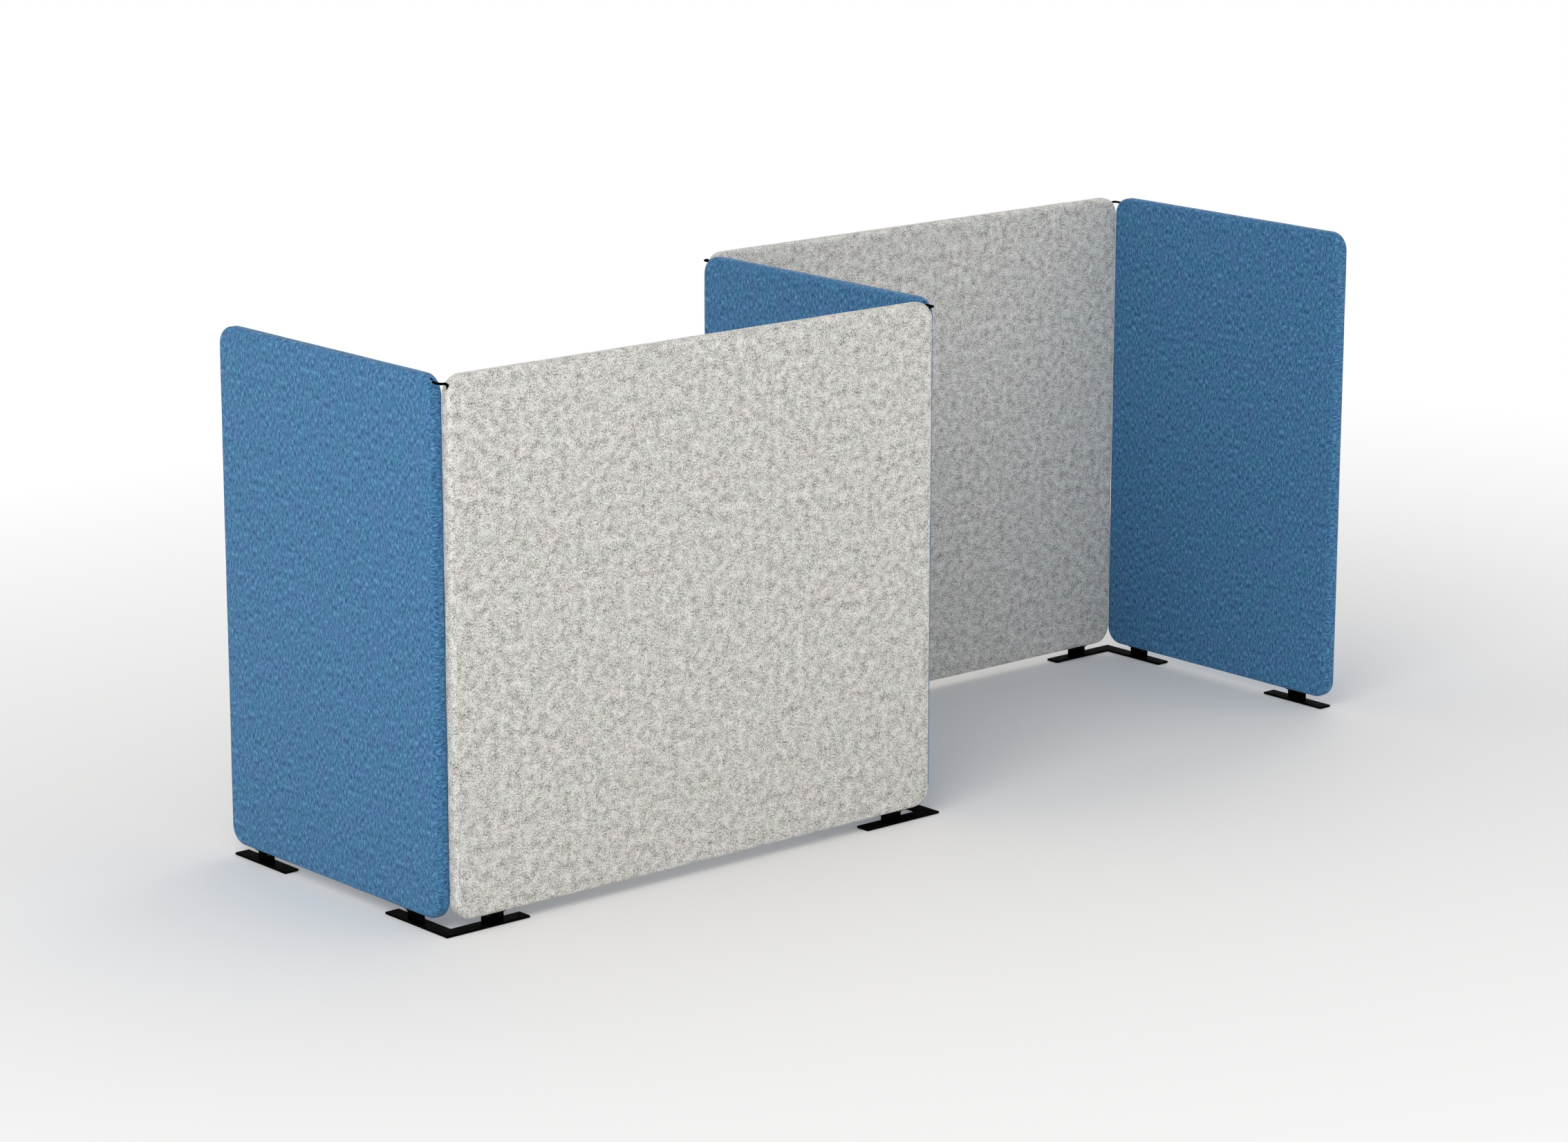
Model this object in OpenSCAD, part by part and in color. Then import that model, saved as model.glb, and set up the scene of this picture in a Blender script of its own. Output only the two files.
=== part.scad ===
// Double study carrel: five free-standing upholstered screens set at right angles,
// standing on flat steel feet and tied together at the top by bent rod links.
// Millimetres, +Z up, origin on the floor under the middle of the middle screen.

/* [Screens] */
// Width of the three side screens
side_w = 800; // [600:10:1200]
// Width of the two back screens
back_w = 1400; // [800:10:1800]
// Height of the upholstered panel
panel_h = 1215; // [900:5:1800]
// Thickness of the upholstered panel
panel_t = 34; // [33:1:40]
// Radius of the panel's corners, seen from the front
corner_r = 45; // [44:1:50]
// Radius of the padded edge between face and side
edge_r = 10; // [9:1:12]
// Gap between the floor and the panel
floor_gap = 28; // [25:1:80]
// Distance from the end of a panel to the centre line of the screen across it
end_gap = 11.5; // [11.5:0.5:16]

/* [Inside the screens] */
// Width of the timber rails and stiles
rail_w = 60; // [58:1:80]
// Thickness of the timber frame and of the core
frame_t = 22; // [21:1:24]
// Thickness of the fabric
fabric_t = 1; // [0.8:0.1:1.2]
// Diameter of the dowels in the frame's corners
dowel_d = 8; // [6:1:10]

/* [Feet] */
// Width of the foot plates
foot_w = 38; // [36:1:60]
// Length of each leg of a corner foot, from the corner of the carrel
foot_leg = 210; // [180:5:300]
// Length of an end foot
end_foot_len = 200; // [160:5:300]
// Thickness of the foot plates
plate_t = 5; // [4:0.5:8]
// Thickness of the rubber pads under the plates
pad_t = 1; // [1:0.5:3]
// Length of a bracket along the panel
bracket_len = 60; // [50:1:80]

/* [Links] */
// Diameter of the bent rod
link_d = 6; // [5:0.5:6]
// Depth of the rod's level part below the top of the panel
link_drop = 16; // [15:0.5:18]
// Length of the rod's legs inside the screens
link_leg = 40; // [30:1:40]

/* [Hidden] */
$fn = 48;

// Screens in the order left, front, middle, back, right: place, turn and width
LEFT = 0;
FRONT = 1;
MIDDLE = 2;
BACK = 3;
RIGHT = 4;
pitch_x = back_w + 2 * end_gap;
pitch_y = side_w + 2 * end_gap;
screen_x = [-pitch_x, -pitch_x / 2, 0, pitch_x / 2, pitch_x];
screen_y = [0, -pitch_y / 2, 0, pitch_y / 2, 0];
screen_turn = [90, 0, 90, 0, 90];
screen_w = [side_w, back_w, side_w, back_w, side_w];
// Ends of each screen that meet another screen, and those that stand free
linked_ends = [[-1], [-1, 1], [-1, 1], [-1, 1], [1]];
free_ends = [[1], [], [], [], [-1]];

// Corners where two screens meet: place, way to the back screen, way to the side screen
FRONT_LEFT = [-pitch_x, -pitch_y / 2, 1, 1];
FRONT_MIDDLE = [0, -pitch_y / 2, -1, 1];
BACK_MIDDLE = [0, pitch_y / 2, 1, -1];
BACK_RIGHT = [pitch_x, pitch_y / 2, -1, -1];

frame_inset = 2;
frame_r = corner_r - frame_inset;
wadding_gap = 0.2;
fit_gap = 0.05;
core_gap = 0.5;

// Dowels, measured from the end of the panel
dowel_at = [34, 52];
dowel_len = 40;
dowel_hole_len = dowel_len / 2 + 1;

// Feet: bracket places are measured from the end of the panel
corner_bracket_at = 108;
end_bracket_at = 115;
plate_top = pad_t + plate_t;
web_t = 4;
flange_t = 3;
flange_w = 21;
flange_under = frame_inset - flange_t;
pad_r = 12;
pad_inset = 15;

// Screws and threaded inserts, two to a bracket, one on each side of its web
screw_r = 2.5;
screw_len = 16;
screw_head_r = 4.5;
screw_head_h = 2.75;
screw_at = [20, 7];
insert_r = 4;
insert_len = 12;

// Links, measured from the corner of the carrel
link_r = link_d / 2;
link_z = panel_h - link_drop;
bend_r = 6;
drop_r = 10;
turn_r = 6;
side_leg_at = 30;
back_leg_at = 18;
back_leg_off = -4;
leg_low = link_z - link_leg;
link_clear = 0.3;
socket_floor = 3;
socket_hole_r = link_r + link_clear;
side_socket = [12, 18];
side_socket_at = side_leg_at - 1;
back_socket_r = 3.95;
slot_w = link_d + 1;
slot_floor = link_z - bend_r - 0.5;

// Closing strip under each cover
strip_w = 8;
strip_inset = 200;

fabric_blue = [0.31, 0.50, 0.66];
fabric_grey = [0.78, 0.78, 0.76];
screen_colour = [fabric_blue, fabric_grey, fabric_blue, fabric_grey, fabric_blue];
steel_black = [0.05, 0.05, 0.05];

// ---- Placing ----

// Puts a screen's own shape, drawn along X and standing on z = 0, where the screen stands
module on_screen(s) {
    translate([screen_x[s], screen_y[s], floor_gap])
        rotate([0, 0, screen_turn[s]])
            children();
}

module on_every_screen() {
    for ($screen = [LEFT:RIGHT]) on_screen($screen) children();
}

// Mirrors its children across x = 0 where way is negative
module facing_x(way) {
    if (way < 0) mirror([1, 0, 0]) children();
    else children();
}

module facing_y(way) {
    if (way < 0) mirror([0, 1, 0]) children();
    else children();
}

// Puts a shape drawn for a corner whose screens run along +X and +Y
module at_corner(corner) {
    translate([corner[0], corner[1], 0])
        facing_x(corner[2])
            facing_y(corner[3])
                children();
}

// Puts a shape at a distance in from one end of a screen, end being -1 or 1
module at_end(s, end, inset) {
    facing_x(-end) translate([inset - screen_w[s] / 2, 0, 0]) children();
}

// Puts a shape at each foot bracket of a screen
module at_brackets(s) {
    for (end = linked_ends[s]) at_end(s, end, corner_bracket_at) children();
    for (end = free_ends[s]) at_end(s, end, end_bracket_at) children();
}

// ---- Shared shapes ----

module centred_box(x, y, z0, z1) {
    translate([-x / 2, -y / 2, z0]) cube([x, y, z1 - z0]);
}

module upright_cylinder(r, z0, z1) {
    translate([0, 0, z0]) cylinder(r = r, h = z1 - z0);
}

// Half of a round-edged strip: out to the edge, thick at the middle
module edge_profile(depth, t, r) {
    translate([0, -t / 2]) square([depth - r, t]);
    translate([0, r - t / 2]) square([depth, t - 2 * r]);
    for (side = [-1, 1]) translate([depth - r, side * (t / 2 - r)]) circle(r);
}

// Quarter of a round-edged disc, filling the quadrant +X, +Z about the origin
module round_corner(big_r, t, r) {
    rotate([90, 0, 0])
        rotate_extrude(angle = 90)
            intersection() {
                edge_profile(big_r, t, r);
                translate([0, -t]) square([big_r, 2 * t]);
            }
}

// Straight round-edged strip along X, its edge towards +Z
module round_strip(len, depth, t, r) {
    translate([-len / 2, 0, 0])
        rotate([90, 0, 90])
            linear_extrude(len)
                rotate(90) intersection() {
                    edge_profile(depth, t, r);
                    translate([0, -t]) square([depth, 2 * t]);
                }
}

// Upholstered slab of the panel's outer shape, drawn in by d on every side
module slab(w, d) {
    big_r = corner_r - d;
    r = edge_r - d;
    t = panel_t - 2 * d;
    half_w = w / 2 - corner_r;
    half_h = panel_h / 2 - corner_r;
    translate([0, 0, panel_h / 2]) {
        centred_box(2 * half_w, t, -half_h, half_h);
        for (turn = [0, 180]) rotate([0, turn, 0]) {
            translate([0, 0, half_h]) round_strip(2 * half_w, big_r, t, r);
            translate([half_w, 0, half_h]) round_corner(big_r, t, r);
            translate([half_w, 0, 0]) rotate([0, 90, 0]) round_strip(2 * half_h, big_r, t, r);
            rotate([0, 90, 0]) translate([half_h, 0, half_w]) round_corner(big_r, t, r);
        }
    }
}

// Flat board of the frame's outline
module frame_board(w) {
    half_w = w / 2 - corner_r;
    rotate([90, 0, 0]) linear_extrude(frame_t, center = true) {
        translate([frame_inset - w / 2, corner_r]) square([w - 2 * frame_inset, panel_h - 2 * corner_r]);
        translate([-half_w, frame_inset]) square([2 * half_w, panel_h - 2 * frame_inset]);
        for (x = [-half_w, half_w], z = [corner_r, panel_h - corner_r]) translate([x, z]) circle(frame_r);
    }
}

// ---- Openings cut for the links ----

// Slot over the rod where it lies in the corner of a side screen
module side_link_slot(low) {
    translate([-1, -slot_w / 2, low])
        cube([side_leg_at - end_gap + socket_hole_r + 1, slot_w, panel_h + 1 - low]);
}

// The legs stand a little towards the outer face of each back screen
function back_leg_y(s) = s == FRONT ? back_leg_off : -back_leg_off;

module at_back_leg(s) {
    translate([back_leg_at - end_gap, back_leg_y(s), 0]) children();
}

module cut_link_openings(s, low) {
    for (end = linked_ends[s]) at_end(s, end, 0)
        if (screen_turn[s] == 90) side_link_slot(low);
        else at_back_leg(s) upright_cylinder(socket_hole_r, leg_low, panel_h + 1);
}

// ---- Parts of one screen, in the screen's own place ----

module cover(s) {
    w = screen_w[s];
    window = [bracket_len + 1, flange_w + 0.4];
    color(screen_colour[s]) difference() {
        slab(w, 0);
        slab(w, fabric_t);
        at_brackets(s) centred_box(window[0], window[1], -1, 1.5);
        centred_box(w - 2 * strip_inset, strip_w, -1, 1.5);
        cut_link_openings(s, link_z - link_r - 0.5);
    }
}

// Front and back layers of wadding between frame and fabric
module wadding(s) {
    color([0.93, 0.93, 0.90]) difference() {
        slab(screen_w[s], fabric_t + wadding_gap);
        centred_box(screen_w[s], frame_t + 2 * fit_gap, -1, panel_h + 1);
    }
}

module core(s) {
    inset = frame_inset + rail_w + core_gap;
    color([0.85, 0.80, 0.55])
        centred_box(screen_w[s] - 2 * inset, frame_t, inset, panel_h - inset);
}

module dowel_holes(s, z) {
    for (end = [-1, 1], at = dowel_at) at_end(s, end, at)
        upright_cylinder(dowel_d / 2 + fit_gap, z - dowel_hole_len, z + dowel_hole_len);
}

module socket_pocket(s) {
    pocket_low = leg_low - socket_floor;
    for (end = linked_ends[s]) at_end(s, end, 0)
        if (screen_turn[s] == 90)
            translate([side_socket_at - end_gap, 0, 0])
                centred_box(side_socket[1] + 2 * fit_gap, side_socket[0] + 2 * fit_gap, pocket_low, panel_h);
        else {
            groove_r = back_socket_r + fit_gap;
            at_back_leg(s) {
                upright_cylinder(groove_r, pocket_low, panel_h);
                translate([end_gap - back_leg_at, -groove_r, pocket_low])
                    cube([back_leg_at - end_gap, 2 * groove_r, panel_h - pocket_low]);
            }
        }
}

module top_rail(s) {
    low = panel_h - frame_inset - rail_w;
    color("burlywood") difference() {
        intersection() {
            frame_board(screen_w[s]);
            centred_box(screen_w[s], 2 * frame_t, low, panel_h);
        }
        dowel_holes(s, low);
        socket_pocket(s);
        cut_link_openings(s, slot_floor);
    }
}

module bottom_rail(s) {
    top = frame_inset + rail_w;
    color("burlywood") difference() {
        intersection() {
            frame_board(screen_w[s]);
            centred_box(screen_w[s], 2 * frame_t, 0, top);
        }
        dowel_holes(s, top);
        at_brackets(s) at_screws()
            upright_cylinder(insert_r + fit_gap, 0, frame_inset + screw_len);
    }
}

module stiles(s) {
    low = frame_inset + rail_w;
    high = panel_h - low;
    color("burlywood") difference() {
        for (end = [-1, 1]) at_end(s, end, low - rail_w / 2)
            centred_box(rail_w, frame_t, low, high);
        dowel_holes(s, low);
        dowel_holes(s, high);
    }
}

module left_screen_cover() on_screen(LEFT) cover(LEFT);
module left_screen_wadding() on_screen(LEFT) wadding(LEFT);
module left_screen_core() on_screen(LEFT) core(LEFT);
module left_screen_top_rail() on_screen(LEFT) top_rail(LEFT);
module left_screen_bottom_rail() on_screen(LEFT) bottom_rail(LEFT);
module left_screen_stiles() on_screen(LEFT) stiles(LEFT);

module front_screen_cover() on_screen(FRONT) cover(FRONT);
module front_screen_wadding() on_screen(FRONT) wadding(FRONT);
module front_screen_core() on_screen(FRONT) core(FRONT);
module front_screen_top_rail() on_screen(FRONT) top_rail(FRONT);
module front_screen_bottom_rail() on_screen(FRONT) bottom_rail(FRONT);
module front_screen_stiles() on_screen(FRONT) stiles(FRONT);

module middle_screen_cover() on_screen(MIDDLE) cover(MIDDLE);
module middle_screen_wadding() on_screen(MIDDLE) wadding(MIDDLE);
module middle_screen_core() on_screen(MIDDLE) core(MIDDLE);
module middle_screen_top_rail() on_screen(MIDDLE) top_rail(MIDDLE);
module middle_screen_bottom_rail() on_screen(MIDDLE) bottom_rail(MIDDLE);
module middle_screen_stiles() on_screen(MIDDLE) stiles(MIDDLE);

module back_screen_cover() on_screen(BACK) cover(BACK);
module back_screen_wadding() on_screen(BACK) wadding(BACK);
module back_screen_core() on_screen(BACK) core(BACK);
module back_screen_top_rail() on_screen(BACK) top_rail(BACK);
module back_screen_bottom_rail() on_screen(BACK) bottom_rail(BACK);
module back_screen_stiles() on_screen(BACK) stiles(BACK);

module right_screen_cover() on_screen(RIGHT) cover(RIGHT);
module right_screen_wadding() on_screen(RIGHT) wadding(RIGHT);
module right_screen_core() on_screen(RIGHT) core(RIGHT);
module right_screen_top_rail() on_screen(RIGHT) top_rail(RIGHT);
module right_screen_bottom_rail() on_screen(RIGHT) bottom_rail(RIGHT);
module right_screen_stiles() on_screen(RIGHT) stiles(RIGHT);

// ---- Small parts inside the screens ----

// Woven strips that close the covers underneath
module closing_strips() {
    color("dimgray") on_every_screen()
        centred_box(screen_w[$screen] - 2 * strip_inset - 0.4, strip_w - 0.4, 0, fabric_t);
}

module frame_dowels() {
    low = frame_inset + rail_w;
    color("tan") on_every_screen()
        for (z = [low, panel_h - low], end = [-1, 1], at = dowel_at) at_end($screen, end, at)
            upright_cylinder(dowel_d / 2, z - dowel_len / 2, z + dowel_len / 2);
}

// Blocks in the top corners of the side screens that hold the links' inner legs
module side_link_sockets() {
    color("dimgray")
        for (s = [LEFT, MIDDLE, RIGHT]) on_screen(s) for (end = linked_ends[s]) difference() {
            intersection() {
                frame_board(screen_w[s]);
                at_end(s, end, side_socket_at - end_gap)
                    centred_box(side_socket[1], side_socket[0], leg_low - socket_floor, panel_h);
            }
            at_end(s, end, side_leg_at - end_gap) upright_cylinder(socket_hole_r, leg_low, panel_h);
            at_end(s, end, 0) side_link_slot(slot_floor);
        }
}

// Tubes in the top corners of the back screens that hold the links' outer legs
module back_link_sockets() {
    color("silver")
        for (s = [FRONT, BACK]) on_screen(s) for (end = linked_ends[s]) at_end(s, end, 0)
            at_back_leg(s) difference() {
                upright_cylinder(back_socket_r, leg_low - socket_floor, panel_h - corner_r);
                upright_cylinder(socket_hole_r, leg_low, panel_h);
            }
}

// ---- Feet ----

module at_pads() {
    far = foot_leg - pad_inset;
    for (place = [[0, 0], [far, 0], [0, far]]) translate([place[0], place[1], 0]) children();
}

// Puts a shape drawn about its own middle, long in Y, at an end foot
module at_end_foot(way) {
    translate([-way * pitch_x, way * (side_w / 2 - end_bracket_at), 0]) children();
}

module corner_foot_plate(corner) {
    leg = foot_leg + foot_w / 2;
    color(steel_black) at_corner(corner) {
        translate([-foot_w / 2, -foot_w / 2, pad_t]) cube([leg, foot_w, plate_t]);
        translate([-foot_w / 2, -foot_w / 2, pad_t]) cube([foot_w, leg, plate_t]);
    }
}

module end_foot_plate(way) {
    color(steel_black) at_end_foot(way) centred_box(foot_w, end_foot_len, pad_t, plate_top);
}

module at_screws() {
    for (side = [-1, 1]) translate([side * screw_at[0], side * screw_at[1], 0]) children();
}

// Upright web with a flange across its top, welded to the foot plate under one end of a screen
module foot_bracket(s, end, inset) {
    color(steel_black) on_screen(s) at_end(s, end, inset) difference() {
        union() {
            centred_box(bracket_len, web_t, plate_top - floor_gap, flange_under);
            centred_box(bracket_len, flange_w, flange_under, frame_inset);
        }
        at_screws() upright_cylinder(screw_r + 0.25, flange_under - 1, frame_inset + 1);
    }
}

module front_left_foot_plate() corner_foot_plate(FRONT_LEFT);
module front_middle_foot_plate() corner_foot_plate(FRONT_MIDDLE);
module back_middle_foot_plate() corner_foot_plate(BACK_MIDDLE);
module back_right_foot_plate() corner_foot_plate(BACK_RIGHT);
module left_end_foot_plate() end_foot_plate(1);
module right_end_foot_plate() end_foot_plate(-1);

module front_left_foot_brackets() {
    foot_bracket(LEFT, -1, corner_bracket_at);
    foot_bracket(FRONT, -1, corner_bracket_at);
}

module front_middle_foot_brackets() {
    foot_bracket(FRONT, 1, corner_bracket_at);
    foot_bracket(MIDDLE, -1, corner_bracket_at);
}

module back_middle_foot_brackets() {
    foot_bracket(MIDDLE, 1, corner_bracket_at);
    foot_bracket(BACK, -1, corner_bracket_at);
}

module back_right_foot_brackets() {
    foot_bracket(BACK, 1, corner_bracket_at);
    foot_bracket(RIGHT, 1, corner_bracket_at);
}

module left_end_foot_bracket() foot_bracket(LEFT, 1, end_bracket_at);
module right_end_foot_bracket() foot_bracket(RIGHT, -1, end_bracket_at);

// Round rubber pads stuck under the plates
module foot_pads() {
    color("black") {
        for (corner = [FRONT_LEFT, FRONT_MIDDLE, BACK_MIDDLE, BACK_RIGHT]) at_corner(corner)
            at_pads() upright_cylinder(pad_r, 0, pad_t);
        for (way = [-1, 1], side = [-1, 1]) at_end_foot(way)
            translate([0, side * (end_foot_len / 2 - pad_inset), 0]) upright_cylinder(pad_r, 0, pad_t);
    }
}

// Button-head screws, driven up through the flanges
module bracket_screws() {
    color("silver") on_every_screen() at_brackets($screen) at_screws() {
        upright_cylinder(screw_head_r, flange_under - screw_head_h, flange_under);
        upright_cylinder(screw_r - fit_gap, flange_under - 1, flange_under + screw_len);
    }
}

module threaded_inserts() {
    color("goldenrod") on_every_screen() at_brackets($screen) at_screws() difference() {
        upright_cylinder(insert_r, frame_inset, frame_inset + insert_len);
        upright_cylinder(screw_r, frame_inset - 1, frame_inset + insert_len + 1);
    }
}

// ---- Links ----

// Quarter bend of the rod about Z, from +X round to +Y
module rod_bend(r) {
    rotate_extrude(angle = 90) translate([r, 0]) circle(link_r);
}

// Rod from the side screen's leg, level round the corner, then in a wide bend down into the back screen
module link(corner) {
    run_y = side_leg_at - bend_r;
    run_x = back_leg_at - drop_r;
    turn_y = back_leg_off + turn_r;
    color(steel_black) at_corner(corner) translate([0, 0, floor_gap + leg_low]) {
        translate([0, side_leg_at, 0]) upright_cylinder(link_r, 0, link_leg - bend_r);
        translate([0, run_y, link_leg - bend_r]) rotate([90, 0, 90]) rod_bend(bend_r);
        translate([0, turn_y, link_leg]) rotate([-90, 0, 0]) upright_cylinder(link_r, 0, run_y - turn_y);
        translate([turn_r, turn_y, link_leg]) rotate([0, 0, 180]) rod_bend(turn_r);
        translate([turn_r, back_leg_off, link_leg])
            rotate([0, 90, 0]) upright_cylinder(link_r, 0, run_x - turn_r);
        translate([run_x, back_leg_off, link_leg - drop_r]) rotate([90, 0, 0]) rod_bend(drop_r);
        translate([back_leg_at, back_leg_off, 0]) upright_cylinder(link_r, 0, link_leg - drop_r);
    }
}

module front_left_link() link(FRONT_LEFT);
module front_middle_link() link(FRONT_MIDDLE);
module back_middle_link() link(BACK_MIDDLE);
module back_right_link() link(BACK_RIGHT);

left_screen_cover();
left_screen_wadding();
left_screen_core();
left_screen_top_rail();
left_screen_bottom_rail();
left_screen_stiles();
front_screen_cover();
front_screen_wadding();
front_screen_core();
front_screen_top_rail();
front_screen_bottom_rail();
front_screen_stiles();
middle_screen_cover();
middle_screen_wadding();
middle_screen_core();
middle_screen_top_rail();
middle_screen_bottom_rail();
middle_screen_stiles();
back_screen_cover();
back_screen_wadding();
back_screen_core();
back_screen_top_rail();
back_screen_bottom_rail();
back_screen_stiles();
right_screen_cover();
right_screen_wadding();
right_screen_core();
right_screen_top_rail();
right_screen_bottom_rail();
right_screen_stiles();
closing_strips();
frame_dowels();
side_link_sockets();
back_link_sockets();
front_left_foot_plate();
front_middle_foot_plate();
back_middle_foot_plate();
back_right_foot_plate();
left_end_foot_plate();
right_end_foot_plate();
front_left_foot_brackets();
front_middle_foot_brackets();
back_middle_foot_brackets();
back_right_foot_brackets();
left_end_foot_bracket();
right_end_foot_bracket();
foot_pads();
bracket_screws();
threaded_inserts();
front_left_link();
front_middle_link();
back_middle_link();
back_right_link();
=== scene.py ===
"""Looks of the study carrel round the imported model, in metres: upholstered covers, feet and finishes."""

import math

import bmesh
import bpy
from mathutils import Matrix, Vector, noise


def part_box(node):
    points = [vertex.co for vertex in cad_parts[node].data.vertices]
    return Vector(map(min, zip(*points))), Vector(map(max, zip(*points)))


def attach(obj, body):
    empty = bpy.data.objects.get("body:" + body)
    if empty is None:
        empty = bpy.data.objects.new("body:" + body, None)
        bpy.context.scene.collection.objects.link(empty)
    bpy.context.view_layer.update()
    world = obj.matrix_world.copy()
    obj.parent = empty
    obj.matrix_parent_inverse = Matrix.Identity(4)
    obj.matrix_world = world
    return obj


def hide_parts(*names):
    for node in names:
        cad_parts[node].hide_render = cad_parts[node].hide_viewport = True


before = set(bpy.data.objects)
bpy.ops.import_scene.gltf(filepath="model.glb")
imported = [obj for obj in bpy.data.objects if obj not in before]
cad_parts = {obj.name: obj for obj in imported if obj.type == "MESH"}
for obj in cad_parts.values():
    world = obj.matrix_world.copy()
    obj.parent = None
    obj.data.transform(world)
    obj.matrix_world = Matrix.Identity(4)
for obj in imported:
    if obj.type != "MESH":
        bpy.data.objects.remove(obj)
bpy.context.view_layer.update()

# ---- Sizes in metres, as the design has them ----

CORNER_R = 0.045    # of a screen's outline
EDGE_R = 0.010      # of the padded edge
FABRIC = 0.001

# Openings for the links, measured from the screen's end, middle and underside
ROD_HOLE_R = 0.0033
ROD_HOLE_SIDES = 32
ROD_Z = 1.199       # height of the rod's level part
ROD_FLOOR = 1.159   # height of the legs' lower ends
SIDE_LEG_AT = 0.0185
BACK_LEG_AT = 0.0065
BACK_LEG_OFF = 0.004
SLIT_W = 0.0012

# Openings in the underside for the bracket flanges and the closing strip
CORNER_BRACKET_AT = 0.108
END_BRACKET_AT = 0.115
WINDOW_LENGTH = 0.061
WINDOW_W = 0.0214
STRIP_W = 0.008
STRIP_INSET = 0.200
UNDERSIDE_DEPTH = 0.0015

# How far a cutter reaches out past the cover
PAST = 0.01

# Eased edges of the steel
PLATE_EASE = 0.0009
BRACKET_EASE = 0.0006
EASE_STEPS = 3
SHARP_ANGLE = math.radians(40)
FLAT_ANGLE = math.radians(1)
SAME_POINT = 1e-6

# ---- How finely and how softly a cover is drawn, in metres and counts ----

CELL = 0.015
CORNER_CELLS = 5
EDGE_STEPS = 5
BAND_STEPS = 3
CROWN = 0.0014
CROWN_POWER = 5
RIPPLE = 0.00045
RIPPLE_SIZE = 0.11
RIPPLE_SHIFT = Vector((1.0, 7.0, 3.0))

CLOTH_UV = "Cloth"

# ---- The screens and feet ----

# Linked ends and free ends of each screen; -1 is the end at the lower X or Y
SCREENS = {
    "left": ((-1,), (1,)),
    "front": ((-1, 1), ()),
    "middle": ((-1, 1), ()),
    "back": ((-1, 1), ()),
    "right": ((1,), (-1,)),
}
# Way out of the carrel in Y from each back screen; the others are side screens
BACK_SCREENS = {"front": -1, "back": 1}
CORNERS = ("front_left", "front_middle", "back_middle", "back_right")
ENDS = ("left_end", "right_end")


# ---- Materials ----

def srgb(red, green, blue):
    """Linear colour of an 8-bit screen colour."""
    def linear(level):
        level /= 255
        return level / 12.92 if level <= 0.04045 else ((level + 0.055) / 1.055) ** 2.4
    return linear(red), linear(green), linear(blue), 1.0


class Finish:
    """A procedural material with short ways to add its nodes."""

    def __init__(self, name, **constants):
        self.material = bpy.data.materials.new(name)
        self.material.use_nodes = True
        self.tree = self.material.node_tree
        self.shader = self.tree.nodes["Principled BSDF"]
        for socket, value in constants.items():
            self.shader.inputs[socket.replace("_", " ")].default_value = value

    def add(self, kind, sockets, **settings):
        made = self.tree.nodes.new("ShaderNode" + kind)
        for key, value in settings.items():
            setattr(made, key, value)
        for key, value in sockets.items():
            if isinstance(value, bpy.types.NodeSocket):
                self.tree.links.new(value, made.inputs[key])
            else:
                made.inputs[key].default_value = value
        return made

    def math(self, operation, first, second=0.0, third=0.0):
        return self.add("Math", {0: first, 1: second, 2: third}, operation=operation).outputs[0]

    def cloth(self):
        """The cloth's own coordinates, in metres."""
        return self.add("UVMap", {}, uv_map=CLOTH_UV).outputs[0]

    def place(self):
        """The piece's own coordinates, in metres."""
        return self.add("TexCoord", {}).outputs["Object"]

    def split(self, vector):
        return self.add("SeparateXYZ", {0: vector}).outputs

    def join(self, x, y):
        return self.add("CombineXYZ", {0: x, 1: y}).outputs[0]

    def stretch(self, vector, scale):
        return self.add("Mapping", {"Vector": vector, "Scale": scale}).outputs[0]

    def noise(self, vector, scale=1.0, detail=2.0, roughness=0.5, distortion=0.0):
        sockets = {"Vector": vector, "Scale": scale, "Detail": detail, "Roughness": roughness,
                   "Distortion": distortion}
        return self.add("TexNoise", sockets).outputs[0]

    def ramp(self, factor, *stops):
        made = self.add("ValToRGB", {0: factor})
        band = made.color_ramp.elements
        while len(band) < len(stops):
            band.new(0.5)
        for element, (position, colour) in zip(band, stops):
            element.position = position
            element.color = colour if not isinstance(colour, float) else (colour, colour, colour, 1.0)
        return made.outputs[0]

    def blend(self, factor, first, second, mode="MIX"):
        made = self.add("Mix", {}, data_type="RGBA", blend_type=mode)
        ends = [socket for socket in made.inputs if socket.type == "RGBA"]
        for socket, value in ((made.inputs[0], factor), (ends[0], first), (ends[1], second)):
            if isinstance(value, bpy.types.NodeSocket):
                self.tree.links.new(value, socket)
            else:
                socket.default_value = value
        return next(socket for socket in made.outputs if socket.type == "RGBA")

    def colour(self, socket):
        self.tree.links.new(socket, self.shader.inputs["Base Color"])

    def gloss(self, socket):
        self.tree.links.new(socket, self.shader.inputs["Roughness"])

    def bump(self, height, strength, distance):
        made = self.add("Bump", {"Height": height, "Strength": strength, "Distance": distance})
        self.tree.links.new(made.outputs[0], self.shader.inputs["Normal"])


# Cloth and felt, in metres; the slant is a slope
COLUMN_W = 0.011
COLUMN_SHIFT = 0.03
ROW_HEIGHT = 0.012
SLANT = 0.32
WANDER = 0.010
FLOAT_W, FLOAT_LENGTH = 0.0040, 0.013
THREAD_W, THREAD_LENGTH = 0.0011, 0.004
FLECK = 0.0034
FIBRE = 0.0012
CLUSTER = 0.022


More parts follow.
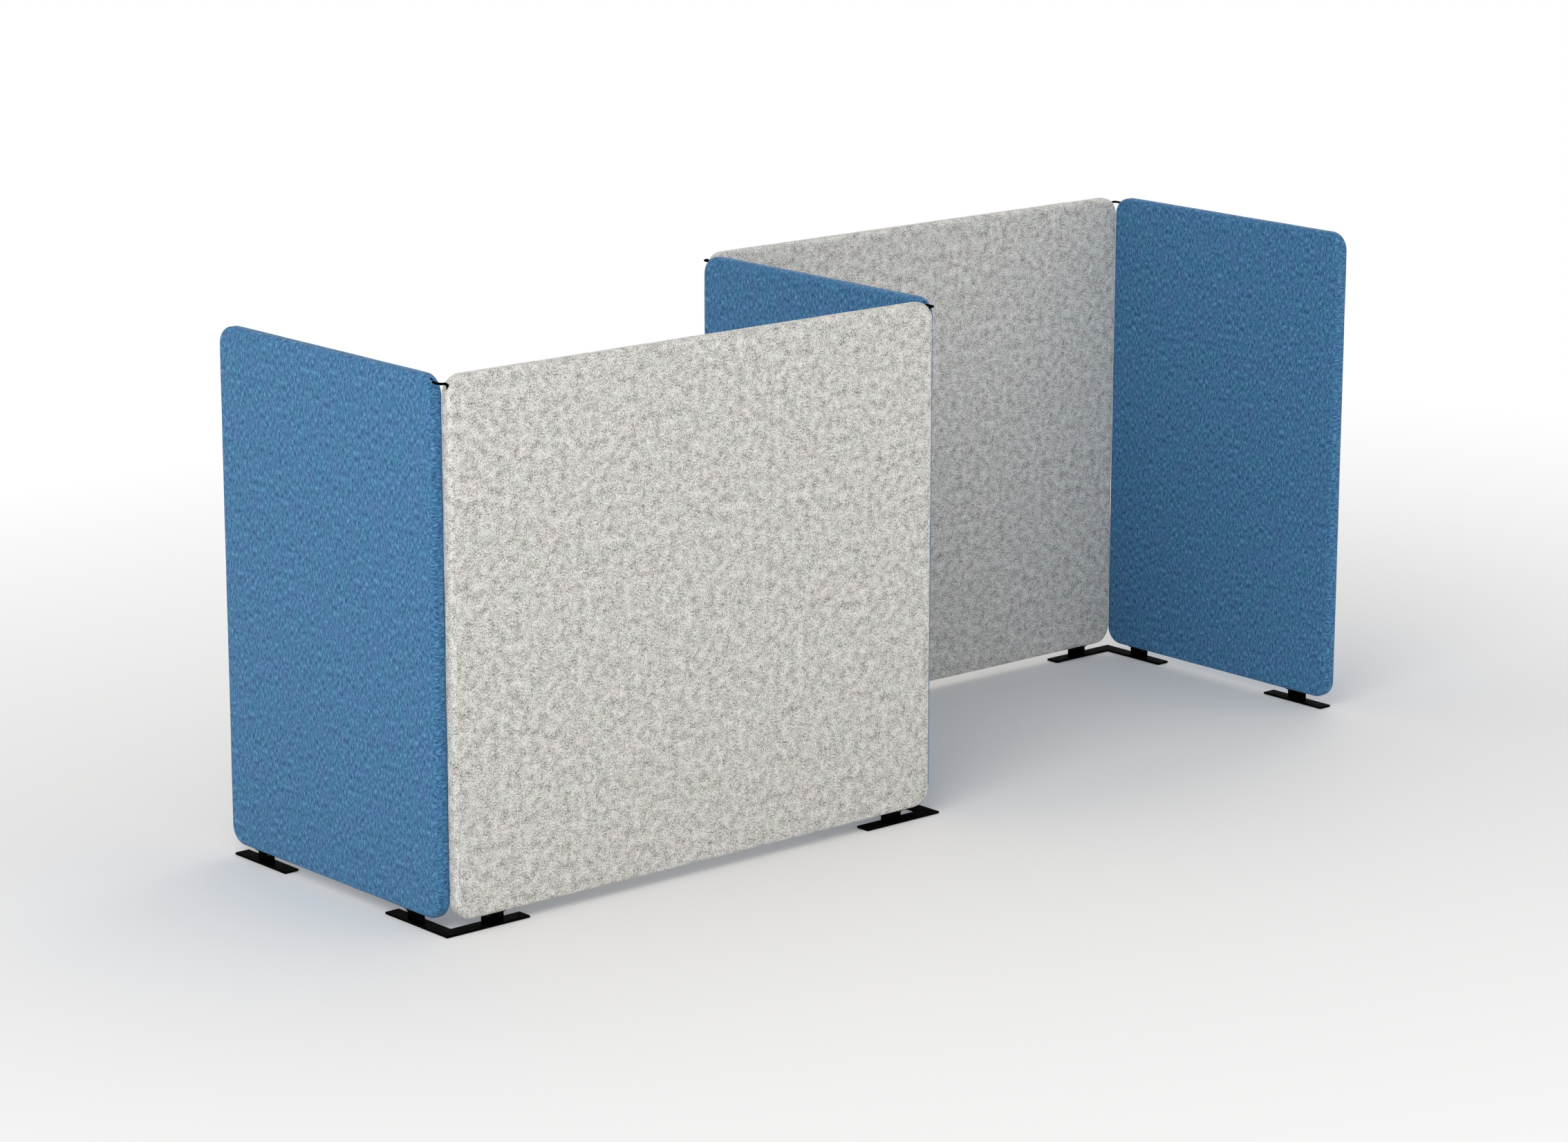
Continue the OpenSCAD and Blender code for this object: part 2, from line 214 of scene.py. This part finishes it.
def woven_blue():
    """Blue upholstery cloth of short slanted floats that turn from row to row."""
    look = Finish("blue_cloth", Roughness=0.85, Specular_IOR_Level=0.25, Sheen_Weight=0.12,
                  Sheen_Roughness=0.5)
    cloth = look.cloth()
    across, along = look.split(cloth)[:2]
    column = look.math("FLOOR", look.math("MULTIPLY", across, 1 / COLUMN_W))
    start = look.add("TexWhiteNoise", {"W": column}, noise_dimensions="1D").outputs[0]
    row = look.math("PINGPONG", look.math("MULTIPLY_ADD", start, COLUMN_SHIFT, along), ROW_HEIGHT)
    wander = look.noise(cloth, scale=30.0, detail=1.0)
    slanted = look.math("MULTIPLY_ADD", row, SLANT, across)
    bent = look.math("MULTIPLY_ADD", wander, WANDER, slanted)

    def drawn_out(width, length):
        return look.join(look.math("MULTIPLY", bent, 1 / width), look.math("MULTIPLY", along, 1 / length))

    floats = look.noise(drawn_out(FLOAT_W, FLOAT_LENGTH), detail=3.0, roughness=0.62)
    fine = look.noise(drawn_out(THREAD_W, THREAD_LENGTH), detail=2.0)
    thread = look.math("ADD", look.math("MULTIPLY", floats, 0.78), look.math("MULTIPLY", fine, 0.22))
    tone = look.ramp(thread, (0.35, srgb(30, 69, 109)), (0.50, srgb(63, 117, 161)),
                     (0.65, srgb(107, 165, 205)))
    patches = look.noise(cloth, scale=16.0, detail=2.0)
    tint = look.ramp(patches, (0.35, (0.90, 1.03, 0.99, 1.0)), (0.65, (1.06, 0.96, 1.02, 1.0)))
    look.colour(look.blend(1.0, tone, tint, "MULTIPLY"))
    look.bump(thread, 0.5, 0.0009)
    return look.material


def wool_grey():
    """Pale grey wool felt, a melange of light and dark fibres."""
    look = Finish("grey_wool", Roughness=0.92, Specular_IOR_Level=0.2, Sheen_Weight=0.15,
                  Sheen_Roughness=0.6)
    cloth = look.cloth()
    flecks = look.noise(cloth, scale=1 / FLECK, detail=3.0, roughness=0.75, distortion=0.4)
    fibres = look.noise(cloth, scale=1 / FIBRE, detail=2.0, roughness=0.6, distortion=1.2)
    clusters = look.noise(cloth, scale=1 / CLUSTER, detail=5.0, roughness=0.7)
    spots = look.math("ADD", look.math("MULTIPLY", flecks, 0.54), look.math("MULTIPLY", clusters, 0.28))
    mixed = look.math("MULTIPLY_ADD", fibres, 0.18, spots)
    tone = look.ramp(mixed, (0.41, srgb(104, 101, 97)), (0.50, srgb(214, 212, 208)),
                     (0.57, srgb(251, 250, 247)))
    clouds = look.noise(cloth, scale=15.0, detail=3.0, roughness=0.6)
    tint = look.ramp(clouds, (0.34, (0.975, 1.00, 0.965, 1.0)), (0.66, (1.02, 0.985, 0.985, 1.0)))
    look.colour(look.blend(1.0, tone, tint, "MULTIPLY"))
    look.bump(mixed, 0.45, 0.0008)
    return look.material


def powder_coat(name):
    """Black powder coat with a fine grain and faintly lighter, smoother patches."""
    look = Finish(name, Specular_IOR_Level=0.015)
    place = look.place()
    grain = look.noise(place, scale=1100.0, detail=2.0)
    wear = look.noise(place, scale=35.0, detail=3.0)
    look.colour(look.ramp(wear, (0.35, srgb(2, 2, 3)), (0.70, srgb(6, 6, 7))))
    look.gloss(look.ramp(wear, (0.3, 0.70), (0.7, 0.58)))
    look.bump(grain, 0.25, 0.0003)
    return look.material


def timber(name, dark, light):
    """Pale planed wood, its figure drawn out along X and Z."""
    look = Finish(name, Specular_IOR_Level=0.3)
    figure = look.stretch(look.place(), (9.0, 60.0, 9.0))
    rings = look.noise(figure, scale=2.0, detail=6.0, roughness=0.6, distortion=0.8)
    pores = look.noise(figure, scale=24.0, detail=2.0)
    bands = look.ramp(rings, (0.35, dark), (0.65, light))
    look.colour(look.blend(look.math("MULTIPLY", pores, 0.35), bands, dark))
    look.gloss(look.ramp(pores, (0.3, 0.72), (0.7, 0.58)))
    look.bump(rings, 0.2, 0.0004)
    return look.material


def fleece(name, dark, light, lump):
    """Matted fibres with soft lumps, such as wadding or a core board."""
    look = Finish(name, Roughness=0.95, Specular_IOR_Level=0.1, Sheen_Weight=0.2)
    lumps = look.noise(look.place(), scale=1 / lump, detail=4.0, roughness=0.7, distortion=0.8)
    look.colour(look.ramp(lumps, (0.3, dark), (0.7, light)))
    look.bump(lumps, 0.6, 0.002)
    return look.material


RIB_PITCH = 0.0014


def webbing():
    """Dark tape with a ribbed weave."""
    look = Finish("strip_webbing", Roughness=0.8, Specular_IOR_Level=0.2)
    x, y = look.split(look.place())[:2]
    ribs = look.math("SINE", look.math("MULTIPLY", look.math("ADD", x, y), 2 * math.pi / RIB_PITCH))
    worn = look.noise(look.place(), scale=70.0, detail=2.0)
    look.colour(look.ramp(worn, (0.3, srgb(38, 40, 43)), (0.7, srgb(62, 64, 67))))
    look.bump(ribs, 0.5, 0.0003)
    return look.material


def moulded(name, dark, light, rough):
    """Moulded plastic or rubber with a fine pebbled texture."""
    look = Finish(name, Specular_IOR_Level=0.35)
    pebble = look.noise(look.place(), scale=1600.0, detail=2.0)
    dust = look.noise(look.place(), scale=60.0, detail=3.0)
    look.colour(look.ramp(dust, (0.3, dark), (0.7, light)))
    look.gloss(look.ramp(dust, (0.3, rough), (0.7, rough + 0.12)))
    look.bump(pebble, 0.25, 0.0002)
    return look.material


def metal(name, dark, light, rough):
    """Plain metal with turning marks and a little tarnish."""
    look = Finish(name, Metallic=1.0)
    marks = look.noise(look.stretch(look.place(), (60.0, 60.0, 2600.0)), scale=1.0, detail=2.0)
    tarnish = look.noise(look.place(), scale=140.0, detail=3.0)
    look.colour(look.ramp(tarnish, (0.3, dark), (0.7, light)))
    look.gloss(look.ramp(marks, (0.3, rough), (0.7, rough + 0.15)))
    look.bump(marks, 0.15, 0.0001)
    return look.material


FINISHES = {
    "blue_fabric": woven_blue(),
    "grey_felt": wool_grey(),
    "foot_steel": powder_coat("foot_coat"),
    "link_steel": powder_coat("link_coat"),
    "frame_timber": timber("frame_timber_grain", srgb(176, 132, 84), srgb(214, 176, 126)),
    "dowel_wood": timber("dowel_beech", srgb(186, 140, 96), srgb(220, 182, 138)),
    "wadding": fleece("wadding_fleece", srgb(214, 214, 208), srgb(240, 240, 236), 0.009),
    "acoustic_core": fleece("core_wool", srgb(176, 160, 96), srgb(208, 194, 134), 0.006),
    "strip_webbing": webbing(),
    "socket_plastic": moulded("socket_nylon", srgb(22, 22, 24), srgb(34, 34, 36), 0.45),
    "socket_tube": metal("socket_zinc", srgb(120, 120, 118), srgb(168, 168, 164), 0.35),
    "pad_rubber": moulded("pad_rubber_grain", srgb(15, 15, 15), srgb(26, 26, 26), 0.75),
    "screw_steel": metal("screw_black_zinc", srgb(38, 38, 40), srgb(62, 62, 64), 0.40),
    "insert_brass": metal("insert_brass_turned", srgb(176, 142, 70), srgb(206, 172, 98), 0.30),
}


# ---- Covers ----

def grid_steps(length, corner):
    """Grid lines along one side, each as its place on the straight part and its reach into the corner."""
    straight = length / 2 - corner
    count = round(2 * straight / CELL)
    steps = [(-straight, k / CORNER_CELLS - 1) for k in range(CORNER_CELLS)]
    steps += [(straight * (2 * k / count - 1), 0.0) for k in range(count + 1)]
    steps += [(straight, (k + 1) / CORNER_CELLS) for k in range(CORNER_CELLS)]
    return steps


def grid_point(step_x, step_z, radius):
    """Point of the face's grid, whose outermost lines follow an outline with corners of this radius."""
    (x, reach_x), (z, reach_z) = step_x, step_z
    return (x + radius * reach_x * math.sqrt(1 - reach_z ** 2 / 2),
            z + radius * reach_z * math.sqrt(1 - reach_x ** 2 / 2))


def edge_rings(thickness):
    """Outward reach, depth and length of cloth from the first face, for each ring between the faces."""
    quarter = [math.pi / 2 * (k + 1) / EDGE_STEPS for k in range(EDGE_STEPS)]
    half = thickness / 2
    band = thickness - 2 * EDGE_R
    rings = [(EDGE_R * math.sin(a), EDGE_R * (1 - math.cos(a)) - half, EDGE_R * a) for a in quarter]
    arc = EDGE_R * math.pi / 2
    rings += [(EDGE_R, EDGE_R - half + band * k / BAND_STEPS, arc + band * k / BAND_STEPS)
              for k in range(1, BAND_STEPS)]
    rings += [(reach, -depth, 2 * arc + band - run) for reach, depth, run in reversed(rings[:EDGE_STEPS])]
    return rings


def fullness(point, half_w, half_h, seed):
    """How far the padded cover stands out at a point: a low crown and soft uneven places."""
    def inside(distance, half):
        return max(0.0, 1 - abs(distance / half) ** CROWN_POWER)

    soft = noise.noise(point / RIPPLE_SIZE + RIPPLE_SHIFT * seed)
    return CROWN * inside(point.x, half_w) * inside(point.z, half_h) + RIPPLE * soft


def add_quad(mesh, corners, places):
    """Smooth quad with these places in the cloth at its corners."""
    made = mesh.faces.new(corners)
    made.smooth = True
    cloth = mesh.loops.layers.uv[CLOTH_UV]
    for loop, place in zip(made.loops, places):
        loop[cloth].uv = place


def face_points(mesh, steps_x, steps_z, depth):
    """Rows of points over one face of a slab, from the bottom up."""
    rows = []
    for step_z in steps_z:
        flat = [grid_point(step_x, step_z, CORNER_R - EDGE_R) for step_x in steps_x]
        rows.append([mesh.verts.new((x, depth, z)) for x, z in flat])
    return rows


def fill_face(mesh, rows, way, seed):
    """Quads over the points of a face; its way is 1 where it looks down Y and -1 where it looks up Y."""
    for row, above in zip(rows, rows[1:]):
        for i in range(len(row) - 1):
            corners = [row[i], row[i + 1], above[i + 1], above[i]][::way]
            add_quad(mesh, corners, [(way * v.co.x + seed, v.co.z) for v in corners])


def fill_edge(mesh, rings, runs, laps, base):
    """Quads between the rings round a slab, their cloth running on from a base height across the edge."""
    for lower, upper, run_a, run_b in zip(rings, rings[1:], runs, runs[1:]):
        for k in range(len(lower)):
            after = (k + 1) % len(lower)
            add_quad(mesh, [lower[k], upper[k], upper[after], lower[after]],
                     [(laps[k], base + run_a), (laps[k], base + run_b),
                      (laps[k + 1], base + run_b), (laps[k + 1], base + run_a)])


def slab_mesh(name, width, thickness, height, seed):
    """Closed upholstered slab, its middle at the origin, with the cloth's own coordinates as its UV map."""
    steps_x = grid_steps(width - 2 * EDGE_R, CORNER_R - EDGE_R)
    steps_z = grid_steps(height - 2 * EDGE_R, CORNER_R - EDGE_R)
    last_x, last_z = len(steps_x) - 1, len(steps_z) - 1
    mesh = bmesh.new()
    mesh.loops.layers.uv.new(CLOTH_UV)
    first = face_points(mesh, steps_x, steps_z, -thickness / 2)
    second = face_points(mesh, steps_x, steps_z, thickness / 2)
    fill_face(mesh, first, 1, seed)
    fill_face(mesh, second, -1, seed)

    outline = [(i, 0) for i in range(last_x)] + [(last_x, j) for j in range(last_z)]
    outline += [(i, last_z) for i in range(last_x, 0, -1)] + [(0, j) for j in range(last_z, 0, -1)]
    rings = [[first[j][i] for i, j in outline]]
    runs = [0.0]
    for reach, depth, run in edge_rings(thickness):
        ring = [grid_point(steps_x[i], steps_z[j], CORNER_R - EDGE_R + reach) for i, j in outline]
        rings.append([mesh.verts.new((x, depth, z)) for x, z in ring])
        runs.append(run)
    rings.append([second[j][i] for i, j in outline])
    runs.append(runs[-1] + EDGE_R * math.pi / 2 / EDGE_STEPS)

    widest = [vert.co for vert in rings[EDGE_STEPS]]
    round_edge = [0.0]
    for here, there in zip(widest, widest[1:] + widest[:1]):
        round_edge.append(round_edge[-1] + (there - here).length)
    top_right, top_left = round_edge[last_x + last_z], round_edge[2 * last_x + last_z]
    laps = [(top_right + top_left) / 2 - length + seed for length in round_edge]
    fill_edge(mesh, rings, runs, laps, height / 2 - EDGE_R)

    mesh.normal_update()
    swell = [vert.normal * fullness(vert.co, width / 2, height / 2, seed) for vert in mesh.verts]
    for vert, shift in zip(mesh.verts, swell):
        vert.co += shift
    bmesh.ops.recalc_face_normals(mesh, faces=mesh.faces[:])
    data = bpy.data.meshes.new(name)
    mesh.to_mesh(data)
    mesh.free()
    return data


def box_cutter(lowest, highest):
    """Closed box between two corners."""
    mesh = bmesh.new()
    bmesh.ops.create_cube(mesh, size=1.0)
    size = Vector(highest) - Vector(lowest)
    for vert in mesh.verts:
        vert.co = Vector([low + (v + 0.5) * s for low, v, s in zip(lowest, vert.co, size)])
    return mesh


def rod_cutter(length):
    """Closed upright cylinder with room for the link's rod."""
    mesh = bmesh.new()
    bmesh.ops.create_cone(mesh, cap_ends=True, segments=ROD_HOLE_SIDES, radius1=ROD_HOLE_R,
                          radius2=ROD_HOLE_R, depth=length)
    return mesh


def upright_cutter(x, y, height):
    """Room for a leg of the rod, out through the top of the cover."""
    length = height + PAST - ROD_FLOOR
    mesh = rod_cutter(length)
    bmesh.ops.translate(mesh, vec=(x, y, ROD_FLOOR + length / 2), verts=mesh.verts)
    return mesh


def level_cutter(inner, outer):
    """Room for the rod's level part, out through the end of the cover."""
    mesh = rod_cutter(abs(outer - inner))
    mesh.transform(Matrix.Rotation(math.pi / 2, 4, "Y"))
    bmesh.ops.translate(mesh, vec=((inner + outer) / 2, 0, ROD_Z), verts=mesh.verts)
    return mesh


def slit_cutter(inner, outer, height):
    """Narrow slit in the cloth over the rod, which parts it on its way up."""
    return box_cutter((min(inner, outer), -SLIT_W / 2, ROD_Z),
                      (max(inner, outer), SLIT_W / 2, height + PAST))


def underside_cutter(x, length, across):
    """Shallow opening in the underside, its middle at x."""
    return box_cutter((x - length / 2, -across / 2, -PAST), (x + length / 2, across / 2, UNDERSIDE_DEPTH))


def cover_cutters(name, width, height):
    """What is cut out of a cover that stands at the origin, as groups free of overlaps."""
    linked, free = SCREENS[name]
    brackets = [end * (width / 2 - CORNER_BRACKET_AT) for end in linked]
    brackets += [end * (width / 2 - END_BRACKET_AT) for end in free]
    flat = [underside_cutter(x, WINDOW_LENGTH, WINDOW_W) for x in brackets]
    flat.append(underside_cutter(0.0, width - 2 * STRIP_INSET, STRIP_W))
    if name in BACK_SCREENS:
        leg_y = BACK_SCREENS[name] * BACK_LEG_OFF
        return [flat, [upright_cutter(end * (width / 2 - BACK_LEG_AT), leg_y, height) for end in linked]]
    spans = [(end * (width / 2 - SIDE_LEG_AT), end * (width / 2 + PAST)) for end in linked]
    flat += [slit_cutter(leg_x, outside, height) for leg_x, outside in spans]
    uprights = [upright_cutter(leg_x, 0.0, height) for leg_x, outside in spans]
    levels = [level_cutter(leg_x, outside) for leg_x, outside in spans]
    return [flat, uprights, levels]


def apply_modifiers(piece):
    graph = bpy.context.evaluated_depsgraph_get()
    data = bpy.data.meshes.new_from_object(piece.evaluated_get(graph))
    piece.modifiers.clear()
    piece.data = data


def new_piece(name, data):
    """Object of a mesh, in the scene."""
    piece = bpy.data.objects.new(name, data)
    bpy.context.scene.collection.objects.link(piece)
    return piece


def cut(piece, cutters):
    """Takes a group of cutters that do not overlap out of the piece's closed shell."""
    joined = bmesh.new()
    for cutter in cutters:
        data = bpy.data.meshes.new("cutter")
        cutter.to_mesh(data)
        cutter.free()
        joined.from_mesh(data)
        bpy.data.meshes.remove(data)
    data = bpy.data.meshes.new("cutters")
    joined.to_mesh(data)
    joined.free()
    tool = new_piece("cutters", data)
    less = piece.modifiers.new("Openings", "BOOLEAN")
    less.object = tool
    less.solver = "EXACT"
    apply_modifiers(piece)
    bpy.data.objects.remove(tool)


def cover(name, seed):
    """Upholstered cover of one screen: a thin shell of cloth with its openings."""
    low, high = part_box(f"{name}_screen_cover")
    size = high - low
    turned = size.y > size.x
    width, thickness = (size.y, size.x) if turned else (size.x, size.y)
    data = slab_mesh(f"{name}_cover_skin", width, thickness, size.z, seed)
    data.transform(Matrix.Translation((0, 0, size.z / 2)))
    piece = new_piece(f"{name}_cover", data)
    shell = piece.modifiers.new("Cloth thickness", "SOLIDIFY")
    shell.thickness = FABRIC
    shell.offset = -1
    apply_modifiers(piece)
    for group in cover_cutters(name, width, size.z):
        cut(piece, group)
    piece.matrix_world = (Matrix.Translation(((low.x + high.x) / 2, (low.y + high.y) / 2, low.z))
                          @ Matrix.Rotation(math.pi / 2 if turned else 0.0, 4, "Z"))
    finish = "grey_felt" if name in BACK_SCREENS else "blue_fabric"
    piece.data.materials.clear()
    piece.data.materials.append(FINISHES[finish])
    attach(piece, "screens")
    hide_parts(f"{name}_screen_cover")


for seed, screen in enumerate(SCREENS):
    cover(screen, seed)


# ---- Feet ----

def eased(node, name, width):
    """Copy of a sharp-edged steel node with its edges eased."""
    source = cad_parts[node]
    piece = new_piece(name, source.data.copy())
    piece.matrix_world = source.matrix_world.copy()
    mesh = bmesh.new()
    mesh.from_mesh(piece.data)
    bmesh.ops.remove_doubles(mesh, verts=mesh.verts, dist=SAME_POINT)
    bmesh.ops.dissolve_limit(mesh, angle_limit=FLAT_ANGLE, verts=mesh.verts, edges=mesh.edges)
    mesh.to_mesh(piece.data)
    mesh.free()
    bevel = piece.modifiers.new("Eased edges", "BEVEL")
    bevel.width = width
    bevel.segments = EASE_STEPS
    bevel.limit_method = "ANGLE"
    bevel.angle_limit = SHARP_ANGLE
    bevel.harden_normals = True
    apply_modifiers(piece)
    piece.data.materials.clear()
    piece.data.materials.append(FINISHES["foot_steel"])
    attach(piece, "screens")
    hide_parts(node)


for corner in CORNERS:
    eased(f"{corner}_foot_plate", f"{corner}_plate", PLATE_EASE)
    eased(f"{corner}_foot_brackets", f"{corner}_brackets", BRACKET_EASE)
for end in ENDS:
    eased(f"{end}_foot_plate", f"{end}_plate", PLATE_EASE)
    eased(f"{end}_foot_bracket", f"{end}_bracket", BRACKET_EASE)


# ---- Finishes of the nodes that stay as they are ----

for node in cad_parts.values():
    for held in node.material_slots:
        plain_name = held.material.name.split(".")[0] if held.material else ""
        held.material = FINISHES.get(plain_name, held.material)


# ---- Floor, light and camera ----

# The floor, in metres: its painted glow begins and is all white at these distances from the carrel's box;
# the glow is painted light, which leaves the floor near the carrel looking shaded
FLOOR_REACH = 45.0
FLOOR_SIDES = 96
CARREL_REACH = (1.44, 0.43)
GLOW_FROM = 0.1
FULL_GLOW_FROM = 3.6

# The sky changes from its low to its high brightness between these values of a direction's Z
SKY_LOW = 0.05
SKY_HIGH = 0.60


def floor_finish():
    """Pale floor that fades to white with the distance from the carrel: the white is a painted glow,
    painted light that leaves the floor near the carrel looking shaded.
    """
    look = Finish("floor_painted_glow", Roughness=0.9, Specular_IOR_Level=0.1)
    x, y = look.split(look.place())[:2]
    beside = look.math("MAXIMUM", look.math("SUBTRACT", look.math("ABSOLUTE", x), CARREL_REACH[0]), 0.0)
    before = look.math("MAXIMUM", look.math("SUBTRACT", look.math("ABSOLUTE", y), CARREL_REACH[1]), 0.0)
    before_squared = look.math("MULTIPLY", before, before)
    away = look.math("SQRT", look.math("MULTIPLY_ADD", beside, beside, before_squared))
    # How much painted glow is mixed in, from none near the carrel's box to all of it far away.
    distances = {"Value": away, "From Min": GLOW_FROM, "From Max": FULL_GLOW_FROM}
    painted_glow_share = look.add("MapRange", distances).outputs[0]
    grain = look.noise(look.place(), scale=400.0, detail=2.0)
    look.colour(look.ramp(grain, (0.3, srgb(245, 244, 243)), (0.7, srgb(249, 248, 247))))
    # Painted light: emission that makes the floor glow white though it is no lamp.
    white = look.add("Emission", {"Color": (1, 1, 1, 1), "Strength": 1.0}).outputs[0]
    out = look.tree.nodes["Material Output"]
    mixed = look.add("MixShader", {0: painted_glow_share, 1: look.shader.outputs[0], 2: white}).outputs[0]
    look.tree.links.new(mixed, out.inputs["Surface"])
    return look.material


def floor():
    """Round plain floor."""
    mesh = bmesh.new()
    bmesh.ops.create_circle(mesh, cap_ends=True, segments=FLOOR_SIDES, radius=FLOOR_REACH)
    data = bpy.data.meshes.new("floor")
    mesh.to_mesh(data)
    mesh.free()
    piece = new_piece("floor", data)
    piece.data.materials.append(floor_finish())


def soft_light(name, place, aim, size, power):
    """Round lamp at a place, aimed at a point, of a size in metres and a power in watts."""
    lamp = bpy.data.lights.new(name, "AREA")
    lamp.shape = "DISK"
    lamp.size = size
    lamp.energy = power
    holder = bpy.data.objects.new(name, lamp)
    holder.location = place
    holder.rotation_euler = (Vector(aim) - Vector(place)).to_track_quat("-Z", "Y").to_euler()
    bpy.context.scene.collection.objects.link(holder)


def sky(low, high):
    """Studio walls of one brightness at the horizon and another overhead."""
    world = bpy.data.worlds.new("studio")
    world.use_nodes = True
    tree = world.node_tree
    way = tree.nodes.new("ShaderNodeTexCoord")
    parts = tree.nodes.new("ShaderNodeSeparateXYZ")
    fall = tree.nodes.new("ShaderNodeMapRange")
    fall.inputs["From Min"].default_value = SKY_LOW
    fall.inputs["From Max"].default_value = SKY_HIGH
    fall.inputs["To Min"].default_value = low
    fall.inputs["To Max"].default_value = high
    tree.links.new(way.outputs["Generated"], parts.inputs[0])
    tree.links.new(parts.outputs[2], fall.inputs["Value"])
    tree.links.new(fall.outputs[0], tree.nodes["Background"].inputs["Strength"])
    tree.nodes["Background"].inputs["Color"].default_value = (1, 1, 1, 1)
    bpy.context.scene.world = world


# The camera, in millimetres, metres and angles, as fitted to the panel edges in the photo
CAMERA_LENS = 104.11
CAMERA_SENSOR = 36.0
CAMERA_PLACE = (-7.057, -8.023, 3.110)
CAMERA_HEADING = math.radians(40.935)
CAMERA_TILT = math.radians(-13.633)
CAMERA_ROLL = math.radians(0.10)


def camera():
    """The photo's view."""
    data = bpy.data.cameras.new("camera")
    data.lens = CAMERA_LENS
    data.sensor_width = CAMERA_SENSOR
    holder = bpy.data.objects.new("camera", data)
    turn = Matrix.Rotation(-CAMERA_HEADING, 4, "Z") @ Matrix.Rotation(math.pi / 2 + CAMERA_TILT, 4, "X")
    holder.matrix_world = Matrix.Translation(CAMERA_PLACE) @ turn @ Matrix.Rotation(CAMERA_ROLL, 4, "Z")
    bpy.context.scene.collection.objects.link(holder)
    bpy.context.scene.camera = holder


floor()
sky(low=0.67, high=0.61)
soft_light("key", place=(-5.4, -2.9, 5.0), aim=(0, 0, 0.6), size=4.5, power=162.0)
soft_light("fill", place=(6.0, 2.5, 4.5), aim=(0, 0, 0.2), size=4.5, power=70.0)
camera()
bpy.context.scene.view_settings.view_transform = "Standard"
